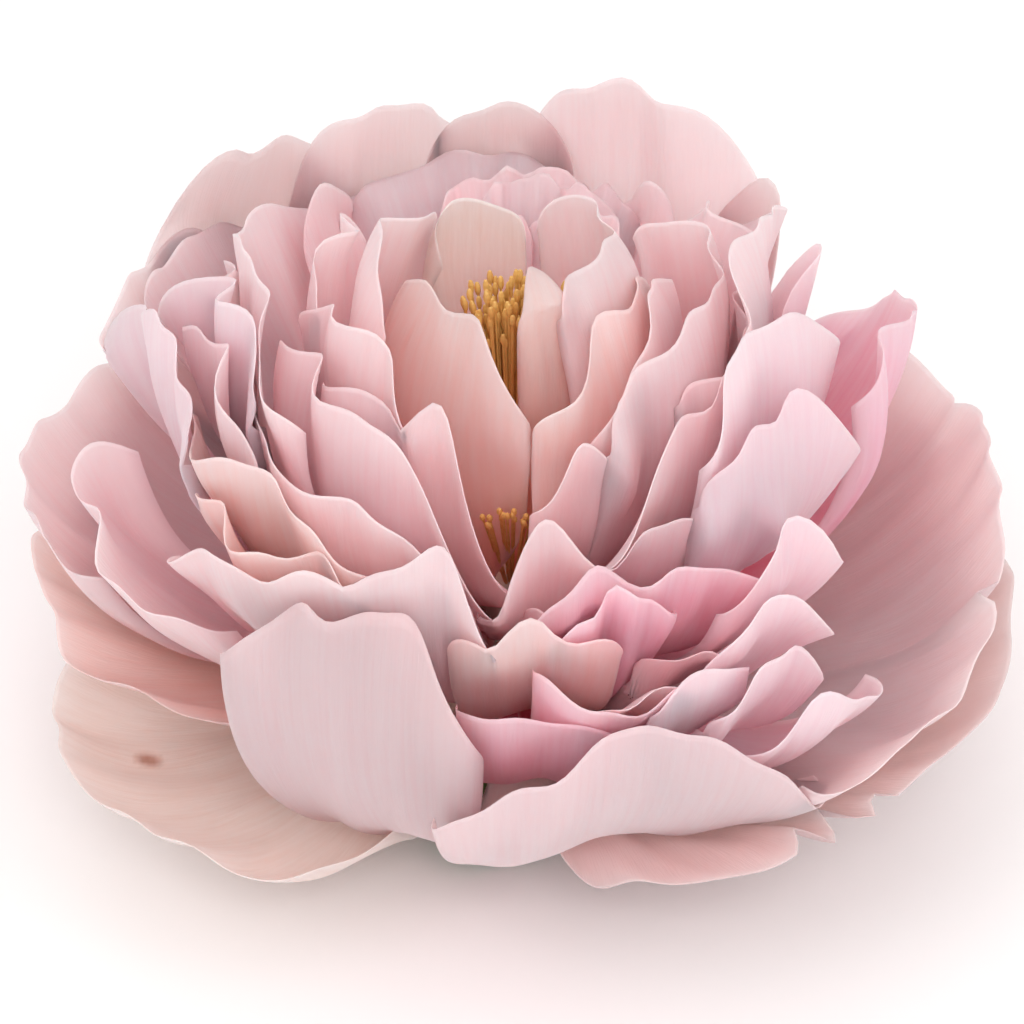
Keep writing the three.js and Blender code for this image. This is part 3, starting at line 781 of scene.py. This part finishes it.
# Petals from the middle outwards: name, turns of the two edges, reach, tilts at the foot and the bend, tilts
# along the rim from edge to edge, lip that the rim turns outwards, ruffle height, ruffle waves, bluntness of
# the tip, slot, and how far the foot's colour climbs, partly ink and partly painted shade
PETALS = (
    ("narrow_slip", (-86, -48), 73, (30, 24), (9, 6, 8), 0, 0.4, 2, 2.6, SALMON, 0.45),
    ("centre_cone", (-190, -84), 69, (40, 34), (17, 11, 11, 14, 27), 0, 0.4, 2, 2.4, SALMON, 0.5),
    ("hood", (84, 134), 70, (34, 33), (24, 24, 22, 19), -3, 0.6, 2, 2.6, CREAM, 0.3),
    ("upright_back", (-60, 75), 75, (38, 32), (13, 9, 13, 14, 13), 0, 0.6, 3, 2.6, PALE, 0.4),
    ("crumple_back_left", (84, 108), 67, (36, 34), (33, 30, 33), 3, 1.4, 5, 2.4, PALE, 0.45),
    ("crumple_back_right", (58, 86), 69, (36, 34), (31, 29, 33), 3, 1.4, 5, 2.4, PALE, 0.45),
    ("stamen_strip", (-102, -64), 50, (46, 43), (38, 36, 38), 0, 0.4, 3, 3.0, "golden_fringe", 0.2),
    ("upright_cup", (-84, 8), 71, (46, 38), (28, 20, 16, 17), 0, 0.8, 3, 2.6, SALMON, 0.5),
    ("inner_fold_right", (-70, 6), 73, (50, 42), (33, 23, 19, 20), 0, 0.8, 3, 2.4, PALE, 0.6),
    ("crumple_back_high", (66, 100), 73, (44, 42), (38, 35, 39), 3, 1.8, 6, 2.4, PALE, 0.35),
    ("tuft_back", (64, 106), 75, (46, 44), (47, 43, 41, 45), 0, 2.4, 7, 2.6, PALE, 0.3),
    ("slip_left", (122, 214), 76, (44, 38), (18, 15, 16, 21), 0, 0.5, 2, 1.5, PALE, 0.35),
    ("fold_left_high", (136, 192), 75, (50, 46), (27, 22, 21, 25), 2, 0.9, 3, 2.2, PALE, 0.4),
    ("grey_left", (-178, -116), 73, (50, 46), (25, 22, 20, 21, 31), 3, 0.8, 3, 2.8, PALE, 0.35),
    ("sweep_inner_left", (-152, -91), 70, (56, 54), (28, 27, 26, 27, 48), 2, 0.8, 3, 2.6, PALE, 0.45),
    ("narrow_front", (-86, -62), 69, (52, 50), (38, 30, 36), 3, 0.4, 2, 2.2, PALE, 0.4),
    ("curled_right_back", (-68, 42), 76, (54, 52), (26, 23, 24, 24, 23, 22), 2, 1.0, 4, 2.6, PALE, 0.45),
    ("fold_right", (-44, 8), 75, (56, 54), (31, 28, 28, 30), 3, 1.0, 3, 2.4, PALE, 0.4),
    ("fold_right_back", (6, 54), 76, (52, 50), (30, 30, 33, 38), 3, 1.0, 4, 2.4, PALE, 0.4),
    ("tip_back", (50, 76), 76, (48, 47), (42, 38, 42), 2, 1.0, 3, 1.8, PALE, 0.4),
    ("back_inner", (76, 118), 81, (54, 54), (52, 48, 48, 52), 2, 1.4, 5, 2.6, PALE, 0.45),
    ("curled_strip", (104, 138), 79, (58, 58), (57, 44, 40, 42), 4, 0.8, 3, 2.2, PALE, 0.45),
    ("sweep_left", (-170, -93), 73, (62, 62), (30, 28, 29, 31, 36, 51), 3, 1.0, 4, 2.6, PALE, 0.4),
    ("long_right", (-74, -22), 74, (60, 58), (45, 34, 30, 28), 3, 0.8, 3, 2.6, PALE, 0.4),
    ("inner_left_back", (110, 224), 80, (60, 60), (58, 46, 36, 28, 30, 35), 3, 1.0, 4, 2.6, PALE, 0.45),
    ("fold_left", (148, 192), 77, (62, 60), (44, 38, 34, 35), 3, 0.9, 3, 2.3, PALE, 0.4),
    ("broad_right_back", (-32, 64), 82, (60, 58), (30, 24, 29, 46, 62), 2, 1.0, 4, 2.8, PALE, 0.35),
    ("tooth_right", (-6, 22), 84, (60, 59), (36, 33, 38), 3, 0.8, 3, 1.7, LILAC, 0.5),
    ("broad_right", (-54, -6), 83, (64, 64), (38, 31, 30, 33, 42), 2, 0.9, 3, 2.8, LILAC, 0.35),
    ("scallop_front", (-96, -36), 70, (66, 66), (48, 41, 42, 43, 46, 52), 2, 1.0, 5, 2.8, PALE, 0.45),
    ("rosette_inner", (-88, -70), 69, (72, 74), (50, 47, 50), 6, 1.2, 3, 2.2, PALE, 0.6),
    ("ruffled_left", (-152, -96), 75, (68, 68), (37, 39, 42, 42, 49), 3, 1.0, 5, 2.8, PALE, 0.4),
    ("side_left_high", (162, 214), 81, (66, 64), (50, 38, 32, 30, 33), 2, 0.9, 3, 2.8, LILAC, 0.35),
    ("fold_left_low", (172, 222), 79, (70, 68), (42, 37, 36, 40), 3, 0.9, 3, 2.3, PALE, 0.4),
    ("cup_left_back", (122, 156), 85, (72, 74), (64, 58, 55, 58), 2, 1.0, 3, 2.6, PALE, 0.4),
    ("broad_right_low", (-56, -18), 79, (70, 72), (44, 38, 38, 41, 50), 2, 0.8, 3, 3.0, LILAC, 0.35),
    ("pink_front", (-90, -44), 73, (74, 78), (52, 47, 48, 51, 57), 3, 1.2, 5, 2.6, ROSE, 0.6),
    ("inner_pink_left", (-168, -106), 77, (72, 72), (46, 44, 43, 45, 51), 3, 1.0, 4, 2.6, SALMON, 0.5),
    ("inner_pink_low", (-150, -108), 77, (76, 76), (48, 50, 49, 49), 3, 1.0, 4, 2.4, SALMON, 0.5),
    ("curl_front", (-86, -64), 75, (80, 84), (55, 50, 50, 52), 4, 1.4, 4, 2.2, ROSE, 0.7),
    ("small_left_back", (126, 162), 87, (78, 80), (64, 62, 60, 64), 0, 0.8, 3, 2.6, DUSKY, 0.4),
    ("back_right_point", (42, 64), 89, (76, 80), (62, 58, 57, 64), 0, 1.0, 3, 1.6, DUSKY, 0.4),
    ("side_left", (154, 208), 83, (76, 76), (58, 48, 42, 40, 43), 2, 0.8, 3, 2.8, LILAC, 0.35),
    ("hollow_right", (-16, 46), 85, (78, 84), (44, 46, 52, 62, 72), 2, 1.4, 4, 2.8, ROSE, 0.6),
    ("small_right", (-58, -34), 78, (80, 82), (55, 51, 50, 57), 3, 0.8, 3, 2.4, LILAC, 0.4),
    ("rosette_right", (-70, -50), 74, (82, 84), (58, 56, 60), 6, 1.2, 3, 2.2, PALE, 0.55),
    ("front_wide", (-148, -92), 78, (84, 84), (57, 54, 53, 50, 47, 45, 56), 3, 0.8, 5, 3.2, PALE, 0.35),
    ("front_fold", (-100, -73), 74, (82, 76), (52, 48, 47, 52, 57), 4, 0.6, 3, 2.6, SALMON, 0.55),
    ("lobe_left", (-174, -138), 81, (92, 92), (58, 60, 62, 65), 3, 0.6, 2, 3.0, PALE, 0.15),
    ("rosette_outer", (-82, -62), 76, (88, 88), (61, 59, 61), 6, 1.2, 3, 2.2, PALE, 0.5),
    ("point_right", (-68, -42), 80, (86, 88), (60, 55, 55, 63), 4, 0.8, 3, 1.9, LILAC, 0.4),
    ("claw_cup", (-87, -64), 77, (92, 94), (60, 64, 62, 59), 2, 0.8, 2, 2.4, ROSE, 0.7),
    ("round_lobe_right", (-73, -57), 79, (94, 96), (63, 60, 62), 2, 0.5, 2, 2.6, LILAC, 0.4),
    ("loop_right", (-65, -47), 80, (96, 98), (66, 62, 63, 69), 2, 0.5, 2, 2.6, LILAC, 0.4),
    ("pink_cup_low", (-98, -72), 74, (96, 102), (67, 66, 65, 63), 0, 0.6, 3, 2.8, ROSE, 0.6),
    ("finger_right", (-61, -38), 83, (98, 102), (75, 71, 72, 76), 0, 0.5, 2, 1.9, LILAC, 0.4),
    ("guard_back_dark", (80, 104), 88, (82, 84), (50, 46, 47, 54), 0, 0.8, 3, 2.4, DUSKY, 0.4),
    ("guard_back_high", (52, 88), 92, (86, 88), (62, 50, 43, 44, 52), 0, 0.8, 4, 2.8, PALE, 0.35),
    ("guard_back_left", (92, 124), 90, (88, 90), (58, 50, 46, 47, 56), 0, 1.0, 4, 2.8, DUSKY, 0.35),
    ("guard_left_back", (114, 148), 91, (92, 94), (58, 50, 46, 47, 56), 0, 0.6, 3, 2.8, DUSKY, 0.4),
    ("guard_left_far", (146, 204), 86, (94, 98), (76, 73, 72, 70, 68), 0, 0.6, 3, 3.2, PALE, 0.4),
    ("guard_right", (-54, 38), 86, (100, 102), (82, 80, 76, 71, 71, 75, 70), 0, 0.7, 4, 3.8, DUSKY, 0.4),
    ("guard_left", (-192, -137), 80, (100, 98), (80, 80, 81, 82, 84), 0, 0.6, 3, 2.4, SALMON, 0.45),
    ("guard_front_left", (-136, -88), 77, (120, 134), (65, 59, 55, 58, 71), 0, 0.4, 3, 4.0, PALE, 0.2),
    ("guard_front_right", (-100, -46), 79, (112, 120), (80, 75, 68, 70, 77, 85), 0, 0.4, 3, 3.8, PALE, 0.3),
    ("guard_low_back_right", (0, 90), 84, (112, 108), (84, 82, 80, 80, 82), 0, 1.2, 5, 3.2, DUSKY, 0.4),
    ("guard_low_back_left", (84, 176), 84, (114, 110), (84, 82, 80, 80, 82), 0, 1.2, 5, 3.2, DUSKY, 0.4),
    ("guard_low_right", (-82, 8), 84, (116, 102), (102, 96, 90, 87, 84, 80, 78), 0, 1.0, 5, 2.2, DUSKY, 0.3),
    ("guard_low_left", (-178, -110), 83, (120, 112), (97, 97, 96, 98, 104), -5, 1.0, 4, 2.2, CREAM, 0.3),
)
seed = 0
for *form, slot, foot_tint_and_shade in PETALS:
    name = form[0]
    tucked = name in TUCKED
    seed += not tucked
    petal = Petal(*form, seed + TUCKED_SEED * tucked)
    if name == "stamen_strip":
        lay(petal)
    else:
        petal_piece(petal, slot, foot_tint_and_shade, None if tucked else name)

# Sepals
# Four leaves of dark green crepe, glued under the ball last of all. They droop towards the table.
SEPAL_FIRST_TURN = -98.0
SEPAL_SPREAD = 26.0
SEPAL_REACH = 46
SEPAL_BODY = (144, 150)
SEPAL_RIM = (121, 124, 121)
SEPAL_RUFFLE = 0.4
SEPAL_BLUNTNESS = 1.7
SEPAL_FOOT_TINT_AND_SHADE = 0.3
for index, name in enumerate(SEPALS):
    turn = SEPAL_FIRST_TURN + index * 360.0 / len(SEPALS)
    edges = (turn - SEPAL_SPREAD, turn + SEPAL_SPREAD)
    form = (SEPAL_REACH, SEPAL_BODY, SEPAL_RIM, 0, SEPAL_RUFFLE, 1, SEPAL_BLUNTNESS)
    petal_piece(Petal(name, edges, *form, index), GREEN, SEPAL_FOOT_TINT_AND_SHADE, name)
